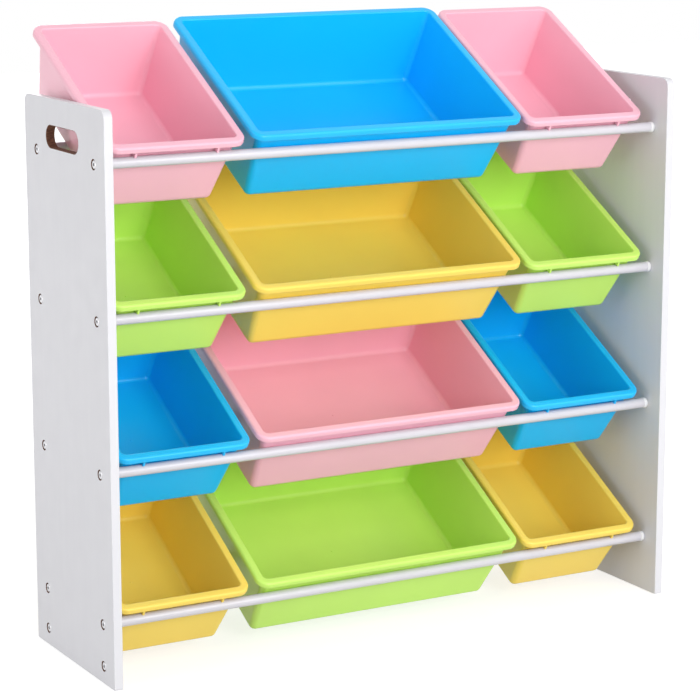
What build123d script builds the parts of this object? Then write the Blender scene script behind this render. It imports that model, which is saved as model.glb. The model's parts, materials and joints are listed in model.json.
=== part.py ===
from build123d import *
import os
from math import atan, cos, radians, sin

# Toy storage organizer: two side panels joined by pairs of rods, and a row of tilted
# lift-out bins hung on each pair. All sizes are in millimetres.
# X runs along the width, Y from the front to the back, Z up. The origin is on the
# floor, in the middle of the width and of the overall depth.

# Side panels
panel_height = 742.0
panel_depth = 255.0
panel_thickness = 12.0
panel_top_radius = 12.0
panel_foot_radius = 2.0
panel_edge_round = 0.8

# Handle slot in each side panel
handle_length = 104.0
handle_height = 29.0
handle_drop = 49.0
handle_setback = 132.0

# Rods, measured from the floor and from the panels' front edge
tier_pitch = 197.5
lowest_rod_height = 79.5
front_rod_setback = 34.0
rod_spacing = 183.0
rod_diameter = 14.0
rod_wall = 1.0

# Rod end plugs, each with a threaded sleeve moulded in
flange_diameter = 15.0
flange_length = 6.0
flange_round = 2.5
plug_shank_length = 24.0
plug_fit = 0.05
sleeve_diameter = 9.0
sleeve_length = 20.0
sleeve_inset = 4.0

# Bolts, and the recesses that their heads sit in
bolt_diameter = 6.0
bolt_reach = 24.0
bolt_head_diameter = 11.5
bolt_head_height = 3.2
bolt_head_round = 1.4
bolt_hole_clearance = 0.3
socket_width = 4.0
socket_depth = 2.2
recess_diameter = 13.6
recess_depth = 3.6
thread_fit = 0.05

# Short bolts low on each panel, in blind inserts
base_bolt_height = 23.5
base_bolt_reach = 5.5
insert_diameter = 10.0
insert_length = 6.0
insert_fit = 0.05

# Bins
narrow_bin_width = 193.0
wide_bin_width = 409.0
narrow_bin_depth = 105.5
wide_bin_depth = 111.5
bin_length = 284.0
bin_tilt = 29.0
bin_wall = 2.2
bin_floor = 2.4
bin_draft = 12.0
bin_corner_round = 9.0

# Rolled rim around each bin
rim_overhang = 9.0
rim_height = 8.5
rim_wall = 2.0
rim_outer_round = 3.4
rim_hem_round = 0.8

# Hooks under the front rim of each narrow bin
hook_width = 3.0
hook_spacing = 114.0

# Where the bins lie along their rods, from the lowest tier up. The free width is what
# the three bins of a row leave between the panels
row_free_width = 41.0
row_side_gaps = (3.0, 7.0, 3.0, 3.0)
row_bin_gaps = (10.0, 8.0, 10.0, 7.5)
seat_clearance = 0.3

# Places worked out from the sizes above
tiers = range(1, len(row_side_gaps) + 1)
inner_width = 2 * narrow_bin_width + wide_bin_width + row_free_width
overall_width = inner_width + 2 * panel_thickness
outer_face = -overall_width / 2
inner_face = -inner_width / 2
head_seat = outer_face + recess_depth
rod_radius = rod_diameter / 2
rod_reach = rod_radius + seat_clearance
tilt = radians(bin_tilt)


def rod_below_rim(depth):
    # Square to the rim plane, from it down to the front rod's axis, when the floor
    # lies on the back rod
    return depth + rod_reach - rod_spacing * sin(tilt)


def rod_behind_edge(depth):
    # Along the rim, from its front edge to the front rod's axis, when the front wall
    # lies against the front rod
    wall_lean = atan(bin_draft / depth)
    wall_inset = rim_overhang + bin_draft * rod_below_rim(depth) / depth
    return wall_inset - rod_reach / cos(wall_lean)


def rim_edge_from_rod(depth):
    # Back and up from the front rod's axis to the front edge of the rim
    along, below = rod_behind_edge(depth), rod_below_rim(depth)
    back = -along * cos(tilt) - below * sin(tilt)
    up = -along * sin(tilt) + below * cos(tilt)
    return back, up


def back_reach(depth):
    # From the panels' front edge to the rearmost point of a resting bin, which is on
    # the hem of its back rim or on the rounded edge between its back wall and floor
    hem_loss = rim_hem_round * (cos(tilt) + sin(tilt) - 1)
    rim_reach = bin_length * cos(tilt) + rim_height * sin(tilt) - hem_loss
    round_below = depth - bin_corner_round
    wall_inset = rim_overhang + bin_draft * round_below / depth
    round_along = bin_length - wall_inset - bin_corner_round / cos(atan(bin_draft / depth))
    floor_reach = round_along * cos(tilt) + round_below * sin(tilt) + bin_corner_round
    return front_rod_setback + rim_edge_from_rod(depth)[0] + max(rim_reach, floor_reach)


overall_depth = max(panel_depth, back_reach(narrow_bin_depth), back_reach(wide_bin_depth))
front_edge = -overall_depth / 2
front_rod_y = front_edge + front_rod_setback
back_rod_y = front_rod_y + rod_spacing
rod_heights = {tier: lowest_rod_height + (tier - 1) * tier_pitch for tier in tiers}
rod_places = [(y, z) for z in rod_heights.values() for y in (front_rod_y, back_rod_y)]
base_places = [(y, base_bolt_height) for y in (front_rod_y, back_rod_y)]


def bar(radius, length, start):
    # Round bar along X, from start towards the middle of the part
    along_x = Cylinder(radius, length, rotation=(0, 90, 0), align=(Align.CENTER, Align.CENTER, Align.MIN))
    return Pos(start, 0, 0) * along_x


def panel_board():
    corner = (outer_face, front_edge, 0)
    board = Pos(*corner) * Box(panel_thickness, panel_depth, panel_height, align=Align.MIN)
    board = fillet(board.edges().filter_by(Axis.X).sort_by(Axis.Z)[-2:], panel_top_radius)
    board = fillet(board.edges().filter_by(Axis.X).sort_by(Axis.Z)[:2], panel_foot_radius)
    broad_faces = board.faces().filter_by(Axis.X).sort_by(SortBy.AREA)[-2:]
    return fillet([edge for face in broad_faces for edge in face.edges()], panel_edge_round)


def handle_slot():
    outline = Plane.YZ * SlotOverall(handle_length, handle_height)
    cutter = extrude(outline, panel_thickness, both=True)
    return Pos(inner_face, front_edge + handle_setback, panel_height - handle_drop) * cutter


def side_panel():
    recess = bar(recess_diameter / 2, recess_depth, outer_face)
    through = bar(bolt_diameter / 2 + bolt_hole_clearance, panel_thickness, outer_face)
    blind = bar(insert_diameter / 2 + insert_fit, insert_length, head_seat)
    cuts = [handle_slot()]
    cuts += [Pos(0, y, z) * cut for y, z in rod_places for cut in (recess, through)]
    cuts += [Pos(0, y, z) * cut for y, z in base_places for cut in (recess, blind)]
    return panel_board() - cuts


def rod_tube():
    length = inner_width - 2 * flange_length
    tube = Cylinder(rod_radius, length) - Cylinder(rod_radius - rod_wall, length)
    return Rot(Y=90) * tube


def rod_plug():
    flange = bar(flange_diameter / 2, flange_length, inner_face)
    flange = fillet(flange.edges().sort_by(Axis.X)[0], flange_round)
    shank = bar(rod_radius - rod_wall - plug_fit, plug_shank_length, inner_face + flange_length)
    sleeve_seat = bar(sleeve_diameter / 2 + plug_fit, sleeve_length, inner_face + sleeve_inset)
    bolt_way = bar(bolt_diameter / 2 + bolt_hole_clearance, sleeve_inset, inner_face)
    return flange + shank - sleeve_seat - bolt_way


def threaded_sleeve(diameter, length, start):
    return bar(diameter / 2, length, start) - bar(bolt_diameter / 2 + thread_fit, length, start)


def socket_bolt(reach):
    # Button head on the floor of the recess, shank towards the middle of the part
    head_top = head_seat - bolt_head_height
    head = bar(bolt_head_diameter / 2, bolt_head_height, head_top)
    head = fillet(head.edges().sort_by(Axis.X)[0], bolt_head_round)
    hexagon = Plane.YZ * RegularPolygon(socket_width / 2, 6, major_radius=False)
    socket = Pos(head_top, 0, 0) * extrude(hexagon, socket_depth)
    return head + bar(bolt_diameter / 2, reach, head_seat) - socket


def group(shape, places):
    # The same piece at each place, as separate solids of one node
    return Compound([Pos(0, y, z) * shape for y, z in places])


def level_corners(width, length, height):
    # Corners of a level rectangle about the middle of the bin, in order round it
    signs = ((-1, -1), (1, -1), (1, 1), (-1, 1))
    return [(x * width / 2, (bin_length + y * length) / 2, height) for x, y in signs]


def tapered_block(width, length, depth, draft, corner_round):
    # From the rim plane down, flat walls drawn in evenly by the draft, every edge
    # rounded except those in the rim plane
    top = level_corners(width, length, 0)
    floor = level_corners(width - 2 * draft, length - 2 * draft, -depth)
    walls = [(top[i - 1], top[i], floor[i], floor[i - 1]) for i in range(len(top))]
    outlines = [Polyline(*corners, close=True) for corners in (top, floor, *walls)]
    block = Solid(Shell([make_face(outline) for outline in outlines]))
    return fillet(block.edges() - block.faces().sort_by(Axis.Z)[-1].edges(), corner_round)


def rim_slab(width, inset, thickness):
    # The rim's outline, drawn in by the inset, with its top in the rim plane
    corner = bin_corner_round + rim_overhang - inset
    outline = RectangleRounded(width - 2 * inset, bin_length - 2 * inset, corner)
    return Pos(0, bin_length / 2, 0) * extrude(outline, -thickness)


def rolled_rim(width):
    rim = rim_slab(width, 0, rim_height)
    rim = fillet(rim.faces().sort_by(Axis.Z)[0].edges(), rim_hem_round)
    rim = fillet(rim.faces().sort_by(Axis.Z)[-1].edges(), rim_outer_round)
    return rim - Pos(0, 0, -rim_wall) * rim_slab(width, rim_wall, rim_height)


def bin_hook(depth):
    # Rib from under the rim down to the top of the front rod
    drop = rod_below_rim(depth) - rod_reach
    reach = rim_overhang + bin_wall / 2
    low_corner = (0, rim_wall, -drop)
    return Pos(*low_corner) * Box(hook_width, reach - rim_wall, drop, align=(Align.CENTER, Align.MIN, Align.MIN))


def storage_bin(width, depth, hook_places):
    # In its own frame: rim in the XY plane, front edge on Y = 0, floor below
    wall_width = width - 2 * rim_overhang
    wall_length = bin_length - 2 * rim_overhang
    inner_depth = depth - bin_floor
    outside = tapered_block(wall_width, wall_length, depth, bin_draft, bin_corner_round)
    inside = tapered_block(wall_width - 2 * bin_wall, wall_length - 2 * bin_wall, inner_depth,
                           bin_draft * inner_depth / depth, bin_corner_round - bin_wall)
    shell = outside + rolled_rim(width)
    for x in hook_places:
        shell += Pos(x, 0, 0) * bin_hook(depth)
    return shell - inside


def bin_row(tier):
    # Name, shape and middle of each bin in a tier, packed from the left
    hooks = (-hook_spacing / 2, hook_spacing / 2)
    left = inner_face + row_side_gaps[tier - 1]
    gap = row_bin_gaps[tier - 1]
    for place, width, depth, hook_places in (("left", narrow_bin_width, narrow_bin_depth, hooks),
                                             ("middle", wide_bin_width, wide_bin_depth, ()),
                                             ("right", narrow_bin_width, narrow_bin_depth, hooks)):
        yield f"bin_{place}_tier_{tier}", (width, depth, hook_places), left + width / 2
        left += width + gap


def placed_bins():
    shapes = {}
    for tier in tiers:
        for name, sizes, middle in bin_row(tier):
            if sizes not in shapes:
                shapes[sizes] = storage_bin(*sizes)
            back, up = rim_edge_from_rod(sizes[1])
            place = Pos(middle, front_rod_y + back, rod_heights[tier] + up) * Rot(X=bin_tilt)
            yield name, place * shapes[sizes]


def both_sides(name, shape):
    yield f"{name}_left", shape
    yield f"{name}_right", mirror(shape, about=Plane.YZ)


def nodes():
    yield from both_sides("side_panel", side_panel())
    for tier in tiers:
        for row, y in (("front", front_rod_y), ("back", back_rod_y)):
            yield f"{row}_rod_tier_{tier}", Pos(0, y, rod_heights[tier]) * rod_tube()
    sleeve = threaded_sleeve(sleeve_diameter, sleeve_length, inner_face + sleeve_inset)
    insert = threaded_sleeve(insert_diameter, insert_length, head_seat)
    yield from both_sides("rod_plugs", group(rod_plug(), rod_places))
    yield from both_sides("plug_sleeves", group(sleeve, rod_places))
    yield from both_sides("rod_bolts", group(socket_bolt(bolt_reach), rod_places))
    yield from both_sides("base_inserts", group(insert, base_places))
    yield from both_sides("base_bolts", group(socket_bolt(base_bolt_reach), base_places))
    yield from placed_bins()


os.makedirs("parts", exist_ok=True)
for node_name, node_shape in nodes():
    node_shape.label = node_name
    export_step(node_shape, f"parts/{node_name}.step")
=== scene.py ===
import json
import bpy
import bmesh
from math import atan, cos, pi, radians, sin, tan
from mathutils import Matrix, Vector


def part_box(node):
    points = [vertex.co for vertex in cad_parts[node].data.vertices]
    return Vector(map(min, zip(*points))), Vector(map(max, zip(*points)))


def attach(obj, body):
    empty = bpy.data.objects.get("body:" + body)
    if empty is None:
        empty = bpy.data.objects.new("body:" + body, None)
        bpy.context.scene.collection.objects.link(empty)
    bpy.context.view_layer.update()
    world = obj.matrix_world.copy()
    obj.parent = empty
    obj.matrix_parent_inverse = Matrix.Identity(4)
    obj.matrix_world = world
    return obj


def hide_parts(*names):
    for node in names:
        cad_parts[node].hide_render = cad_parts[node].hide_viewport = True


# Toy storage organizer: two side panels joined by four pairs of rods, and twelve
# tilted bins lying on the rods. Lengths are in metres, angles in degrees.

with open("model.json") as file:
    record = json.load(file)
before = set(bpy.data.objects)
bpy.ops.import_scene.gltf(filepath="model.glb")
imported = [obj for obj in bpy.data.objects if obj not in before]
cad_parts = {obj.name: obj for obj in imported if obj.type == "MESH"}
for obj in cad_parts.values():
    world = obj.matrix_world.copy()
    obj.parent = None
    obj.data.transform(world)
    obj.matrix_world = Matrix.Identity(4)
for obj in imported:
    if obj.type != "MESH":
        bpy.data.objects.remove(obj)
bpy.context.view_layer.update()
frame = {"nodes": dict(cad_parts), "record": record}
scene = bpy.context.scene
slotOf = {part["node"]: part["material_slot"] for part in frame["record"]["subparts"]}

# Places taken from the frame
panelLow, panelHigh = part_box("side_panel_left")
outerFace, innerFace = panelLow.x, panelHigh.x
frontEdge = panelLow.y


def middleOf(node):
    low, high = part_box(node)
    return (low + high) / 2


tiers = (1, 2, 3, 4)
frontRods = {tier: middleOf(f"front_rod_tier_{tier}") for tier in tiers}
backRods = {tier: middleOf(f"back_rod_tier_{tier}") for tier in tiers}
rodPlaces = [(rod.y, rod.z) for rods in (frontRods, backRods) for rod in rods.values()]
baseHeight = middleOf("base_bolts_left").z
basePlaces = [(rods[1].y, baseHeight) for rods in (frontRods, backRods)]


# Camera and surroundings

cameraView = {"left": 1.2077, "front": 2.758, "height": 1.0592, "yaw": 29.364, "pitch": 11.59,
              "lens": 126.86, "sensor": 36, "farthest": 100}


def makeCamera():
    # Measured from the low front corner of the left panel's outer face
    view = cameraView
    corner = Vector((outerFace, frontEdge, 0))
    camera = bpy.data.objects.new("camera", bpy.data.cameras.new("camera"))
    scene.collection.objects.link(camera)
    camera.location = corner + Vector((-view["left"], -view["front"], view["height"]))
    yaw, pitch = radians(view["yaw"]), radians(view["pitch"])
    look = Vector((sin(yaw) * cos(pitch), cos(yaw) * cos(pitch), -sin(pitch)))
    camera.rotation_euler = look.to_track_quat("-Z", "Y").to_euler()
    camera.data.lens = view["lens"]
    camera.data.sensor_width = view["sensor"]
    camera.data.clip_end = view["farthest"]
    scene.camera = camera


def addNode(tree, kind, inputs=None, **settings):
    # A node with its settings, each input a value or another node's socket
    node = tree.nodes.new(kind)
    for name, value in settings.items():
        setattr(node, name, value)
    for name, value in (inputs or {}).items():
        if isinstance(value, bpy.types.NodeSocket):
            tree.links.new(value, node.inputs[name])
        else:
            node.inputs[name].default_value = value
    return node


def spread(tree, value, low, high, start=0.3, end=0.7):
    # A value brought from the range that noise fills to the range from low to high
    inputs = {"Value": value, "From Min": start, "From Max": end, "To Min": low, "To Max": high}
    return addNode(tree, "ShaderNodeMapRange", inputs).outputs["Result"]


def seenRays(tree):
    # 1 for camera, glossy and transmitted rays, which see the white surroundings
    path = addNode(tree, "ShaderNodeLightPath")
    seen = path.outputs["Is Camera Ray"]
    for name in ("Is Glossy Ray", "Is Transmission Ray"):
        inputs = {0: seen, 1: path.outputs[name]}
        seen = addNode(tree, "ShaderNodeMath", inputs, operation="MAXIMUM").outputs[0]
    return seen


surroundings = {"skyLight": 0.58, "skySeen": 1.0, "skyColour": (1, 1, 1, 1), "floorSize": 16.0,
                "floorColour": (0.6, 0.6, 0.6, 1), "nearGlow": 0.62, "farGlow": 1.0,
                "glowStart": 0.7, "glowEnd": 2.6}


def makeWorld():
    world = bpy.data.worlds.new("softStudio")
    world.use_nodes = True
    tree = world.node_tree
    tree.nodes.clear()
    colour = surroundings["skyColour"]
    inputs = {"Color": colour, "Strength": surroundings["skyLight"]}
    lit = addNode(tree, "ShaderNodeBackground", inputs)
    inputs = {"Color": colour, "Strength": surroundings["skySeen"]}
    seen = addNode(tree, "ShaderNodeBackground", inputs)
    inputs = {0: seenRays(tree), 1: lit.outputs[0], 2: seen.outputs[0]}
    mix = addNode(tree, "ShaderNodeMixShader", inputs)
    addNode(tree, "ShaderNodeOutputWorld", {"Surface": mix.outputs[0]})
    scene.world = world


def paleFloor():
    # Dull, with a glow for the camera that rises to white away from the object
    material = bpy.data.materials.new("paleFloor")
    material.use_nodes = True
    tree = material.node_tree
    tree.nodes.clear()
    dull = addNode(tree, "ShaderNodeBsdfDiffuse", {"Color": surroundings["floorColour"]})
    where = addNode(tree, "ShaderNodeTexCoord").outputs["Object"]
    away = addNode(tree, "ShaderNodeVectorMath", {0: where}, operation="LENGTH").outputs["Value"]
    glowRange = [surroundings[name] for name in ("nearGlow", "farGlow", "glowStart", "glowEnd")]
    rising = spread(tree, away, *glowRange)
    glow = addNode(tree, "ShaderNodeEmission", {"Strength": rising})
    both = addNode(tree, "ShaderNodeAddShader", {0: dull.outputs[0], 1: glow.outputs[0]})
    inputs = {0: seenRays(tree), 1: dull.outputs[0], 2: both.outputs[0]}
    mix = addNode(tree, "ShaderNodeMixShader", inputs)
    addNode(tree, "ShaderNodeOutputMaterial", {"Surface": mix.outputs[0]})
    return material


def makeFloor():
    bm = bmesh.new()
    bmesh.ops.create_grid(bm, x_segments=1, y_segments=1, size=surroundings["floorSize"] / 2)
    mesh = bpy.data.meshes.new("floor")
    bm.to_mesh(mesh)
    bm.free()
    mesh.materials.append(paleFloor())
    floor = bpy.data.objects.new("floor", mesh)
    scene.collection.objects.link(floor)


softboxes = {"aim": (0, 0, 0.42), "size": 2.0,
             "lamps": {"left": {"distance": 4.0, "azimuth": -84, "height": 5, "power": 43},
                       "front": {"distance": 4.2, "azimuth": 3, "height": 14, "power": 106},
                       "right": {"distance": 4.2, "azimuth": 48, "height": 26, "power": 20},
                       "back": {"distance": 4.2, "azimuth": 168, "height": 24, "power": 45}}}


def makeSoftbox(side, box):
    # Azimuth is counted from the front towards the right, height up from level
    data = bpy.data.lights.new(f"softbox_{side}", "AREA")
    data.energy = box["power"]
    data.size = softboxes["size"]
    lamp = bpy.data.objects.new(f"softbox_{side}", data)
    scene.collection.objects.link(lamp)
    azimuth, height = radians(box["azimuth"]), radians(box["height"])
    away = Vector((sin(azimuth) * cos(height), -cos(azimuth) * cos(height), sin(height)))
    lamp.location = Vector(softboxes["aim"]) + away * box["distance"]
    lamp.rotation_euler = away.to_track_quat("Z", "Y").to_euler()


scene.view_settings.view_transform = "Standard"
makeCamera()
makeWorld()
makeFloor()
for side, box in softboxes["lamps"].items():
    makeSoftbox(side, box)
print("Camera, world, floor and softboxes made")


# Finishes. A scale is blotches to the metre, a bump its strength and its height

def principled(name):
    material = bpy.data.materials.new(name)
    material.use_nodes = True
    tree = material.node_tree
    shader = tree.nodes["Principled BSDF"]
    where = addNode(tree, "ShaderNodeTexCoord").outputs["Object"]
    return material, tree, shader, where


def noise(tree, where, scale, detail=2.0, stretch=(1, 1, 1)):
    mapped = addNode(tree, "ShaderNodeMapping", {"Vector": where, "Scale": stretch}).outputs[0]
    inputs = {"Vector": mapped, "Scale": scale, "Detail": detail}
    return addNode(tree, "ShaderNodeTexNoise", inputs).outputs["Fac"]


def mixColours(tree, amount, first, second):
    # The Mix node takes its colours at inputs 6 and 7 and gives theirs at output 2
    node = addNode(tree, "ShaderNodeMix", {0: amount}, data_type="RGBA")
    for index, colour in ((6, first), (7, second)):
        if isinstance(colour, bpy.types.NodeSocket):
            tree.links.new(colour, node.inputs[index])
        else:
            node.inputs[index].default_value = (*colour, 1)
    return node.outputs[2]


def shaded(tree, pattern, finish):
    # From the finish's dark to its light colour
    return mixColours(tree, spread(tree, pattern, 0, 1), finish["dark"], finish["light"])


def roughened(tree, pattern, finish):
    return spread(tree, pattern, *finish["rough"])


def tinted(colour, factor):
    return tuple(min(channel * factor, 1) for channel in colour)


def bumped(tree, pattern, bump, under=None):
    # A bump of the given strength and height, on top of another one where there is one
    inputs = {"Height": pattern, "Strength": bump[0], "Distance": bump[1]}
    if under:
        inputs["Normal"] = under
    return addNode(tree, "ShaderNodeBump", inputs).outputs[0]


plasticFinish = {"colours": {"bin_pink": (0.97, 0.52, 0.63), "bin_blue": (0.004, 0.52, 1.0),
                             "bin_green": (0.6, 0.92, 0.16), "bin_yellow": (1.0, 0.73, 0.12)},
                 "tints": (0.96, 1.02), "cloudScale": 7, "detail": 3, "rough": (0.3, 0.36),
                 "waveScale": 45, "waveBump": (0.06, 0.0005), "grainScale": 350,
                 "grainBump": (0.02, 0.0001), "ior": 1.49}


def binPlastic(name):
    # Semi-gloss moulded plastic: a faintly cloudy colour, slow waves and a fine grain
    material, tree, shader, where = principled(name)
    finish = plasticFinish
    darker, lighter = [tinted(finish["colours"][name], factor) for factor in finish["tints"]]
    cloud = spread(tree, noise(tree, where, finish["cloudScale"], finish["detail"]), 0, 1)
    tree.links.new(mixColours(tree, cloud, darker, lighter), shader.inputs["Base Color"])
    gloss = roughened(tree, noise(tree, where, finish["waveScale"], finish["detail"]), finish)
    tree.links.new(gloss, shader.inputs["Roughness"])
    waves = bumped(tree, noise(tree, where, finish["waveScale"]), finish["waveBump"])
    grain = bumped(tree, noise(tree, where, finish["grainScale"]), finish["grainBump"], waves)
    tree.links.new(grain, shader.inputs["Normal"])
    shader.inputs["IOR"].default_value = finish["ior"]
    return material


laminateFinish = {"dark": (0.725, 0.721, 0.755), "light": (0.74, 0.736, 0.77),
                  "blotched": (0.715, 0.71, 0.74), "grainScale": 90, "grainDetail": 4,
                  "grainStretch": (1, 1, 0.06), "grainBump": (0.1, 0.00005), "blotchScale": 5,
                  "blotchDetail": 3, "blotchDepth": 0.3, "glossScale": 40, "rough": (0.34, 0.48)}


def whiteLaminate():
    # White faced board: a faint upright grain under a satin skin
    material, tree, shader, where = principled("whiteLaminate")
    finish = laminateFinish
    grain = noise(tree, where, finish["grainScale"], finish["grainDetail"], finish["grainStretch"])
    blotch = noise(tree, where, finish["blotchScale"], finish["blotchDetail"])
    amount = spread(tree, blotch, 0, finish["blotchDepth"])
    colour = mixColours(tree, amount, shaded(tree, grain, finish), finish["blotched"])
    tree.links.new(colour, shader.inputs["Base Color"])
    gloss = roughened(tree, noise(tree, where, finish["glossScale"]), finish)
    tree.links.new(gloss, shader.inputs["Roughness"])
    tree.links.new(bumped(tree, grain, finish["grainBump"]), shader.inputs["Normal"])
    return material


# The dark brown is partly the cut board's own colour and partly painted shade, as in the slot's ends
# and the recess walls
coreAndShadeFinish = {"dark": (0.1, 0.042, 0.024), "light": (0.26, 0.125, 0.075), "fibreScale": 700,
              "fibreDetail": 5, "fibreStretch": (0.3, 1, 1), "fibreBump": (0.5, 0.0004), "rough": 0.9}


def fibreboardWithPaintedShade():
    # The brown core that shows where the board is cut through, darkened past the board's own brown as
    # painted shade for the hand slot and the bolt recesses
    material, tree, shader, where = principled("fibreboardWithPaintedShade")
    finish = coreAndShadeFinish
    noisy = noise(tree, where, finish["fibreScale"], finish["fibreDetail"], finish["fibreStretch"])
    fibres = spread(tree, noisy, 0, 1)
    colour = mixColours(tree, fibres, finish["dark"], finish["light"])
    tree.links.new(colour, shader.inputs["Base Color"])
    shader.inputs["Roughness"].default_value = finish["rough"]
    tree.links.new(bumped(tree, fibres, finish["fibreBump"]), shader.inputs["Normal"])
    return material


whiteFinishes = {"rodPaint": {"dark": (0.66, 0.645, 0.695), "light": (0.675, 0.66, 0.71),
                              "shadeScale": 12, "shadeDetail": 3, "glossScale": 30,
                              "rough": (0.3, 0.36), "peelScale": 500, "peelBump": (0.01, 0.00005)},
                 "plugPlastic": {"dark": (0.83, 0.83, 0.85), "light": (0.87, 0.87, 0.89),
                                 "shadeScale": 60, "shadeDetail": 3, "glossScale": 200,
                                 "rough": (0.2, 0.32), "peelScale": 500, "peelBump": (0.03, 0.0001)}}


def smoothWhite(name):
    # Nearly even white with a fine orange peel, for the rods' paint and the plugs
    material, tree, shader, where = principled(name)
    finish = whiteFinishes[name]
    shade = noise(tree, where, finish["shadeScale"], finish["shadeDetail"])
    tree.links.new(shaded(tree, shade, finish), shader.inputs["Base Color"])
    gloss = roughened(tree, noise(tree, where, finish["glossScale"]), finish)
    tree.links.new(gloss, shader.inputs["Roughness"])
    peel = bumped(tree, noise(tree, where, finish["peelScale"]), finish["peelBump"])
    tree.links.new(peel, shader.inputs["Normal"])
    return material


metalFinishes = {"boltSteel": {"dark": (0.5, 0.5, 0.52), "light": (0.72, 0.72, 0.74),
                               "rough": (0.22, 0.38), "markScale": 900, "markDetail": 3,
                               "markStretch": (0.15, 1, 1), "markBump": (0.3, 0.00005)},
                 "sleeveBrass": {"dark": (0.55, 0.42, 0.18), "light": (0.72, 0.58, 0.3),
                                 "rough": (0.3, 0.45), "markScale": 700, "markDetail": 3,
                                 "markStretch": (0.15, 1, 1), "markBump": (0.3, 0.00005)}}


def turnedMetal(name):
    # Fine marks drawn out along the screw's axis
    material, tree, shader, where = principled(name)
    finish = metalFinishes[name]
    marks = noise(tree, where, finish["markScale"], finish["markDetail"], finish["markStretch"])
    tree.links.new(shaded(tree, marks, finish), shader.inputs["Base Color"])
    tree.links.new(roughened(tree, marks, finish), shader.inputs["Roughness"])
    shader.inputs["Metallic"].default_value = 1.0
    tree.links.new(bumped(tree, marks, finish["markBump"]), shader.inputs["Normal"])
    return material


finishes = {slot: binPlastic(slot) for slot in plasticFinish["colours"]}
finishes["panel_white"] = whiteLaminate()
finishes["rod_white"] = smoothWhite("rodPaint")
finishes["plug_white"] = smoothWhite("plugPlastic")
finishes["bolt_steel"] = turnedMetal("boltSteel")
finishes["sleeve_brass"] = turnedMetal("sleeveBrass")
coreWithPaintedShade = fibreboardWithPaintedShade()
print("Finishes made:", ", ".join(finishes))


# Shared shaping

meshing = {"weld": 1e-6, "sharpAngle": 40, "flatWeight": 100}


def shadeFrom(mesh, sharpAngle):
    mesh.shade_smooth()
    mesh.set_sharp_from_angle(angle=radians(sharpAngle))


def finishPiece(name, bm, materials, sharpAngle=meshing["sharpAngle"], place=Matrix()):
    # A closed mesh object at the origin, smooth but for its sharp edges
    bmesh.ops.transform(bm, matrix=place, verts=bm.verts)
    bmesh.ops.remove_doubles(bm, verts=bm.verts, dist=meshing["weld"])
    bmesh.ops.recalc_face_normals(bm, faces=bm.faces)
    mesh = bpy.data.meshes.new(name)
    bm.to_mesh(mesh)
    bm.free()
    for material in materials:
        mesh.materials.append(material)
    shadeFrom(mesh, sharpAngle)
    piece = bpy.data.objects.new(name, mesh)
    scene.collection.objects.link(piece)
    return piece


def standFor(piece, body, node):
    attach(piece, body)
    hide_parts(node)


def weighNormals(piece):
    # Keeps the broad flat walls evenly shaded beside their rounded edges
    modifier = piece.modifiers.new("flatWalls", "WEIGHTED_NORMAL")
    modifier.keep_sharp = True
    modifier.weight = meshing["flatWeight"]


def cutAway(piece, cutter, sharpAngle):
    # Cuts one object out of another for good, each face keeping its own material
    cut = piece.modifiers.new("cut", "BOOLEAN")
    cut.object = cutter
    cut.operation = "DIFFERENCE"
    cut.solver = "EXACT"
    cut.material_mode = "INDEX"
    bpy.context.view_layer.update()
    evaluated = piece.evaluated_get(bpy.context.evaluated_depsgraph_get())
    mesh = bpy.data.meshes.new_from_object(evaluated)
    piece.modifiers.clear()
    piece.data = mesh
    bpy.data.objects.remove(cutter)
    shadeFrom(mesh, sharpAngle)


def edgesOf(verts):
    # Each edge once, always in the same order
    return list(dict.fromkeys(edge for vert in verts for edge in vert.link_edges))


def roundEdges(bm, edges, offset, segments):
    bmesh.ops.bevel(bm, geom=edges, offset=offset, segments=segments, affect="EDGES",
                    profile=0.5, material=-1)


def runsAlongX(edge):
    return abs(edge.verts[0].co.x - edge.verts[1].co.x) > meshing["weld"]


def addSkin(bm, rings, steps, place=Matrix()):
    # A rounded rectangle grown from one ring (centreX, centreY, corner, height) to the next,
    # each quarter of it following its own corner, and closed at both ends
    corner = rings[0][2]
    turn = Matrix.Rotation(pi / steps, 4, "Z")
    made = bmesh.ops.create_circle(bm, cap_ends=False, radius=corner / cos(pi / steps),
                                   segments=steps, matrix=turn)
    verts = made["verts"]
    edges = edgesOf(verts)
    allVerts = list(verts)
    firstEdges = edges
    before = (0, 0, corner)
    for ring in rings:
        if ring is not rings[0]:
            grown = bmesh.ops.extrude_edge_only(bm, edges=edges)["geom"]
            verts = [item for item in grown if isinstance(item, bmesh.types.BMVert)]
            edges = [item for item in grown if isinstance(item, bmesh.types.BMEdge)]
            allVerts += verts
        for vert in verts:
            for axis in (0, 1):
                side = 1 if vert.co[axis] > 0 else -1
                outwards = (vert.co[axis] - side * before[axis]) / before[2]
                vert.co[axis] = side * ring[axis] + outwards * ring[2]
            vert.co.z = ring[3]
        before = ring
    for ends in (firstEdges, edges):
        bmesh.ops.contextual_create(bm, geom=ends)
    bmesh.ops.transform(bm, matrix=place, verts=allVerts)


def arc(radius, start, end, steps):
    # Points of an arc about the origin, from one angle in radians to the other
    angles = [start + (end - start) * step / steps for step in range(steps + 1)]
    return [(radius * cos(angle), radius * sin(angle)) for angle in angles]


# Bins

binSizes = {"tilt": 29.0, "length": 0.284, "narrowDepth": 0.1055, "wideDepth": 0.1115,
            "draft": 0.012, "wall": 0.0022, "floor": 0.0024, "cornerRound": 0.009,
            "cornerSteps": 48, "roundSteps": 7, "overhang": 0.009, "rimHeight": 0.0085,
            "rimWall": 0.002, "rimRound": 0.0034, "lipRound": 0.002, "hemSteps": 6,
            "leastCorner": 0.05, "hookWidth": 0.003, "hookSpacing": 0.114, "hookSeat": 0.0003,
            "hookRound": 0.0005, "gateRadius": 0.0022, "gateTaper": 0.7, "gateHeight": 0.001,
            "gateLift": 0.0002, "gateRound": 0.0002, "gateSteps": 24, "gateTurn": 30,
            "smallSteps": 2}


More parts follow.
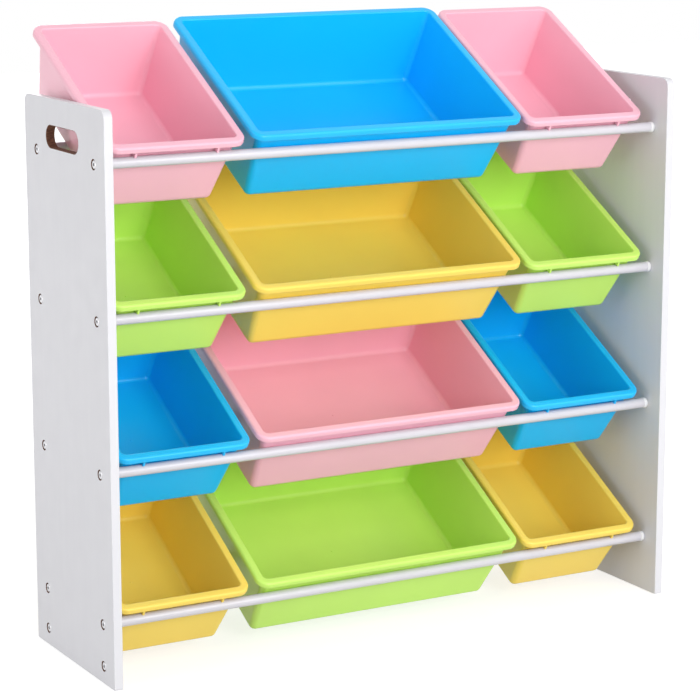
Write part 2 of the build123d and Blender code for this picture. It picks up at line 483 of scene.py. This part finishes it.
def roundedFoot(inset, depth, lean, radius, steps):
    # Inset, drop and corner of each ring from a leaning wall round to the flat floor,
    # where the last corner keeps a small share of its radius
    centreDrop = depth - radius
    centreInset = inset + centreDrop * tan(lean) + radius / cos(lean)
    smallest = radius * binSizes["leastCorner"]
    for across, down in arc(radius, lean, pi / 2, steps):
        yield centreInset - across, centreDrop + down, max(across, smallest)


def binRings(depth):
    # From the underside, up the outer wall, round the rim and down the inner wall
    sizes = binSizes
    lean = atan(sizes["draft"] / depth)
    rimCorner = sizes["cornerRound"] + sizes["overhang"]
    innerInset = sizes["overhang"] + sizes["wall"]
    innerRound = sizes["cornerRound"] - sizes["wall"]
    hem = sizes["rimWall"] / 2
    foot = roundedFoot(sizes["overhang"], depth, lean, sizes["cornerRound"], sizes["roundSteps"])
    rings = list(foot)[::-1]
    wallInset = sizes["overhang"] + sizes["rimWall"] * tan(lean)
    rings.append((wallInset, sizes["rimWall"], sizes["cornerRound"]))
    rings.append((sizes["rimWall"], sizes["rimWall"], rimCorner - sizes["rimWall"]))
    for across, down in arc(hem, 0, pi, sizes["hemSteps"]):
        inset = hem + across
        rings.append((inset, sizes["rimHeight"] - hem + down, rimCorner - inset))
    for across, up in arc(sizes["rimRound"], pi, pi / 2, sizes["roundSteps"]):
        inset = sizes["rimRound"] + across
        rings.append((inset, sizes["rimRound"] - up, rimCorner - inset))
    for across, up in arc(sizes["lipRound"], pi / 2, 0, sizes["roundSteps"]):
        inset = innerInset - sizes["lipRound"] + across
        rings.append((inset, sizes["lipRound"] - up, rimCorner - inset))
    rings += roundedFoot(innerInset, depth - sizes["floor"], lean, innerRound, sizes["roundSteps"])
    return rings


def binPlace(node, middle):
    # Where the rim's front edge lies and how the bin leans, from the node's corners
    low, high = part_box(node)
    tilt = radians(binSizes["tilt"])
    edgeRound = binSizes["rimRound"]
    y = low.y + edgeRound - edgeRound * (cos(tilt) + sin(tilt))
    z = high.z - edgeRound - (binSizes["length"] - edgeRound) * sin(tilt) + edgeRound * cos(tilt)
    return Matrix.Translation((middle, y, z)) @ Matrix.Rotation(tilt, 4, "X")


def addHook(bm, x, drop):
    # A rib from under the rim down to the top of the front rod
    sizes = binSizes
    reach = sizes["overhang"] + sizes["wall"] / 2 - sizes["rimWall"]
    centre = Vector((x, sizes["rimWall"] + reach / 2, -(sizes["rimWall"] / 2 + drop) / 2))
    size = (sizes["hookWidth"], reach, drop - sizes["rimWall"] / 2)
    made = bmesh.ops.create_cube(bm, size=1, matrix=Matrix.LocRotScale(centre, None, size))
    roundEdges(bm, edgesOf(made["verts"]), sizes["hookRound"], sizes["smallSteps"])


def addHooks(bm, place, rod):
    rodLow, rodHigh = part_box(rod)
    rodMiddle = middleOf(rod)
    rodInBin = place.inverted() @ Vector((0, rodMiddle.y, rodMiddle.z))
    drop = -rodInBin.z - (rodHigh.z - rodLow.z) / 2 - binSizes["hookSeat"]
    for side in (-1, 1):
        addHook(bm, side * binSizes["hookSpacing"] / 2, drop)


def addGateMark(bm, depth):
    # The moulding point in the middle of the floor
    sizes = binSizes
    floorTop = sizes["floor"] - depth
    place = Matrix.Translation((0, sizes["length"] / 2, floorTop + sizes["gateLift"]))
    radius = sizes["gateRadius"]
    made = bmesh.ops.create_cone(bm, cap_ends=True, segments=sizes["gateSteps"], radius1=radius,
                                 radius2=radius * sizes["gateTaper"], depth=sizes["gateHeight"],
                                 matrix=place)
    turn = radians(sizes["gateTurn"])
    rims = [edge for edge in edgesOf(made["verts"]) if edge.calc_face_angle(0) > turn]
    roundEdges(bm, rims, sizes["gateRound"], sizes["smallSteps"])


def makeBin(node):
    sizes = binSizes
    low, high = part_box(node)
    width = high.x - low.x
    narrow = width < sizes["length"]
    depth = sizes["narrowDepth"] if narrow else sizes["wideDepth"]
    place = binPlace(node, (low.x + high.x) / 2)
    bm = bmesh.new()
    halfWidth, halfLength = width / 2, sizes["length"] / 2
    rings = [(halfWidth - inset - corner, halfLength - inset - corner, corner, -drop)
             for inset, drop, corner in binRings(depth)]
    addSkin(bm, rings, sizes["cornerSteps"], Matrix.Translation((0, halfLength, 0)))
    if narrow:
        addHooks(bm, place, f"front_rod_tier_{node[-1]}")
    addGateMark(bm, depth)
    piece = finishPiece(f"{node}_shell", bm, [finishes[slotOf[node]]], place=place)
    weighNormals(piece)
    standFor(piece, node, node)


for tier in tiers:
    for spot in ("left", "middle", "right"):
        makeBin(f"bin_{spot}_tier_{tier}")
print("Bins made")


# Side panels

panelSizes = {"topRound": 0.012, "topSteps": 10, "footRound": 0.002, "footSteps": 4,
              "edgeRound": 0.0008, "edgeSteps": 3, "slotLength": 0.104, "slotHeight": 0.029,
              "slotDrop": 0.049, "slotSetback": 0.132, "slotSteps": 64, "recessRadius": 0.0068,
              "recessDepth": 0.0036, "recessSteps": 40, "eased": 0.0006, "easedSteps": 4,
              "cutterReach": 0.004, "sharpAngle": 30}


def edgesAcross(bm, level):
    # The edges along X at one height
    return [edge for edge in bm.edges if runsAlongX(edge)
            and all(abs(vert.co.z - level) < meshing["weld"] for vert in edge.verts)]


def softenedBlock(low, high):
    # The board before it is cut: rounded top corners and lightly rounded edges
    sizes = panelSizes
    bm = bmesh.new()
    matrix = Matrix.LocRotScale((low + high) / 2, None, high - low)
    bmesh.ops.create_cube(bm, size=1, matrix=matrix)
    roundEdges(bm, edgesAcross(bm, high.z), sizes["topRound"], sizes["topSteps"])
    roundEdges(bm, edgesAcross(bm, low.z), sizes["footRound"], sizes["footSteps"])
    outline = [edge for edge in bm.edges if not runsAlongX(edge)]
    roundEdges(bm, outline, sizes["edgeRound"], sizes["edgeSteps"])
    return bm


def addCutter(bm, halfLength, halfHeight, depths, place, steps):
    # A round-ended plunge along Z, wider where its depths say so
    rings = [(halfLength - halfHeight, 0, halfHeight + spare, height) for height, spare in depths]
    addSkin(bm, rings, steps, place)


def easedDepths(eased):
    # Depths and spare widths, from outside the board over a small round to the nominal size
    angles = [step / panelSizes["easedSteps"] * pi / 2 for step in range(panelSizes["easedSteps"] + 1)]
    entry = [(eased * (1 - cos(angle)), eased * (1 - sin(angle))) for angle in angles]
    return [(-panelSizes["cutterReach"], eased)] + entry


def panelCutter(outer, inner):
    # The hand slot and the bolt recesses, measured from the outer face towards the inner one
    sizes = panelSizes
    inwards = 1 if inner > outer else -1
    thickness = abs(inner - outer)
    toX = Matrix(((0, 0, inwards, 0), (1, 0, 0, 0), (0, 1, 0, 0), (0, 0, 0, 1)))
    bm = bmesh.new()
    entry = easedDepths(sizes["eased"])
    through = entry + [(thickness - height, spare) for height, spare in reversed(entry)]
    slotY = frontEdge + sizes["slotSetback"]
    slotZ = panelHigh.z - sizes["slotDrop"]
    place = Matrix.Translation((outer, slotY, slotZ)) @ toX
    addCutter(bm, sizes["slotLength"] / 2, sizes["slotHeight"] / 2, through, place, sizes["slotSteps"])
    blind = easedDepths(sizes["eased"] / 2) + [(sizes["recessDepth"], 0)]
    for y, z in rodPlaces + basePlaces:
        place = Matrix.Translation((outer, y, z)) @ toX
        addCutter(bm, sizes["recessRadius"], sizes["recessRadius"], blind, place, sizes["recessSteps"])
    for face in bm.faces:
        face.material_index = 1
    return bm


def makePanel(side):
    node = f"side_panel_{side}"
    low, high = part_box(node)
    outer, inner = (low.x, high.x) if side == "left" else (high.x, low.x)
    materials = [finishes["panel_white"], coreWithPaintedShade]
    board = finishPiece(f"{node}_board", softenedBlock(low, high), materials)
    cutter = finishPiece("cutter", panelCutter(outer, inner), materials)
    cutAway(board, cutter, panelSizes["sharpAngle"])
    weighNormals(board)
    standFor(board, "frame", node)


for side in ("left", "right"):
    makePanel(side)
print("Side panels cut")


# Rods

rodSizes = {"steps": 72, "endRound": 0.0004, "endSteps": 2}


def makeRod(node):
    sizes = rodSizes
    low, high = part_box(node)
    place = Matrix.Translation((low + high) / 2) @ Matrix.Rotation(pi / 2, 4, "Y")
    radius = (high.z - low.z) / 2
    bm = bmesh.new()
    bmesh.ops.create_cone(bm, cap_ends=True, segments=sizes["steps"], radius1=radius, radius2=radius,
                          depth=high.x - low.x, matrix=place)
    ends = [edge for edge in bm.edges if not runsAlongX(edge)]
    roundEdges(bm, ends, sizes["endRound"], sizes["endSteps"])
    standFor(finishPiece(f"{node}_tube", bm, [finishes["rod_white"]]), "frame", node)


# Rod end plugs and bolts, turned from a profile of depths and radii

def addTurned(bm, profile, origin, inwards, steps):
    x, y, z = origin
    verts = [bm.verts.new((x + inwards * depth, y, z + radius)) for depth, radius in profile]
    edges = [bm.edges.new(pair) for pair in zip(verts, verts[1:])]
    bmesh.ops.spin(bm, geom=verts + edges, cent=origin, axis=(1, 0, 0), dvec=(0, 0, 0),
                   angle=2 * pi, steps=steps, use_merge=True, use_duplicate=False)


def turnedAtAll(profile, start, inwards, places, steps):
    bm = bmesh.new()
    for y, z in places:
        addTurned(bm, profile, (start, y, z), inwards, steps)
    return bm


def roundedNose(radius, edgeRound, steps):
    # From the axis out over a rounded edge
    curve = [(edgeRound - up, radius - edgeRound + out)
             for out, up in arc(edgeRound, pi / 2, 0, steps)]
    return [(0, 0)] + curve


plugSizes = {"flangeRadius": 0.0075, "flangeLength": 0.006, "flangeRound": 0.0025,
             "roundSteps": 8, "shankRadius": 0.00595, "shankLength": 0.024, "step": 0.0004,
             "steps": 48}


def plugProfile():
    sizes = plugSizes
    nose = roundedNose(sizes["flangeRadius"], sizes["flangeRound"], sizes["roundSteps"])
    edge = [(sizes["flangeLength"] - sizes["step"], sizes["flangeRadius"]),
            (sizes["flangeLength"], sizes["flangeRadius"] - sizes["step"])]
    end = sizes["flangeLength"] + sizes["shankLength"]
    shank = [(sizes["flangeLength"], sizes["shankRadius"]), (end - sizes["step"], sizes["shankRadius"]),
             (end, sizes["shankRadius"] - sizes["step"]), (end, 0)]
    return nose + edge + shank


def makePlugs(side, start, inwards):
    bm = turnedAtAll(plugProfile(), start, inwards, rodPlaces, plugSizes["steps"])
    piece = finishPiece(f"rod_plugs_{side}_caps", bm, [finishes["plug_white"]])
    standFor(piece, "frame", f"rod_plugs_{side}")


boltSizes = {"headRadius": 0.00575, "headHeight": 0.0032, "headRound": 0.0014, "roundSteps": 6,
             "shankRadius": 0.003, "socketSides": 6, "socketWidth": 0.004, "socketDepth": 0.0022,
             "rim": 0.0003, "steps": 40, "sharpAngle": 35}


def boltProfile(reach):
    # From the top of the head
    sizes = boltSizes
    nose = roundedNose(sizes["headRadius"], sizes["headRound"], sizes["roundSteps"])
    under = [(sizes["headHeight"] - sizes["rim"], sizes["headRadius"]),
             (sizes["headHeight"], sizes["headRadius"] - sizes["rim"])]
    end = sizes["headHeight"] + reach
    shank = [(sizes["headHeight"], sizes["shankRadius"]), (end - sizes["rim"], sizes["shankRadius"]),
             (end, sizes["shankRadius"] - sizes["rim"]), (end, 0)]
    return nose + under + shank


def socketCutter(start, places):
    # One socket at each bolt, half of its cutter outside the head
    sizes = boltSizes
    radius = sizes["socketWidth"] / 2 / cos(pi / sizes["socketSides"])
    bm = bmesh.new()
    for y, z in places:
        place = Matrix.Translation((start, y, z)) @ Matrix.Rotation(pi / 2, 4, "Y")
        bmesh.ops.create_cone(bm, cap_ends=True, segments=sizes["socketSides"], radius1=radius,
                              radius2=radius, depth=2 * sizes["socketDepth"], matrix=place)
    return finishPiece("cutter", bm, [])


def makeBolts(name, side, inwards, places):
    sizes = boltSizes
    node = f"{name}_{side}"
    low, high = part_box(node)
    start = low.x if side == "left" else high.x
    reach = high.x - low.x - sizes["headHeight"]
    bm = turnedAtAll(boltProfile(reach), start, inwards, places, sizes["steps"])
    bolts = finishPiece(f"{node}_screws", bm, [finishes["bolt_steel"]], sizes["sharpAngle"])
    cutAway(bolts, socketCutter(start, places), sizes["sharpAngle"])
    standFor(bolts, "frame", node)


for tier in tiers:
    for row in ("front", "back"):
        makeRod(f"{row}_rod_tier_{tier}")
for side, inwards in (("left", 1), ("right", -1)):
    makePlugs(side, innerFace * inwards, inwards)
    makeBolts("rod_bolts", side, inwards, rodPlaces)
    makeBolts("base_bolts", side, inwards, basePlaces)
print("Rods, plugs and bolts made")

# The sleeves and inserts keep their own solids
for name, node in frame["nodes"].items():
    if name.startswith(("plug_sleeves", "base_inserts")):
        node.data.materials.clear()
        node.data.materials.append(finishes[slotOf[name]])
print("Sleeves and inserts given their brass")
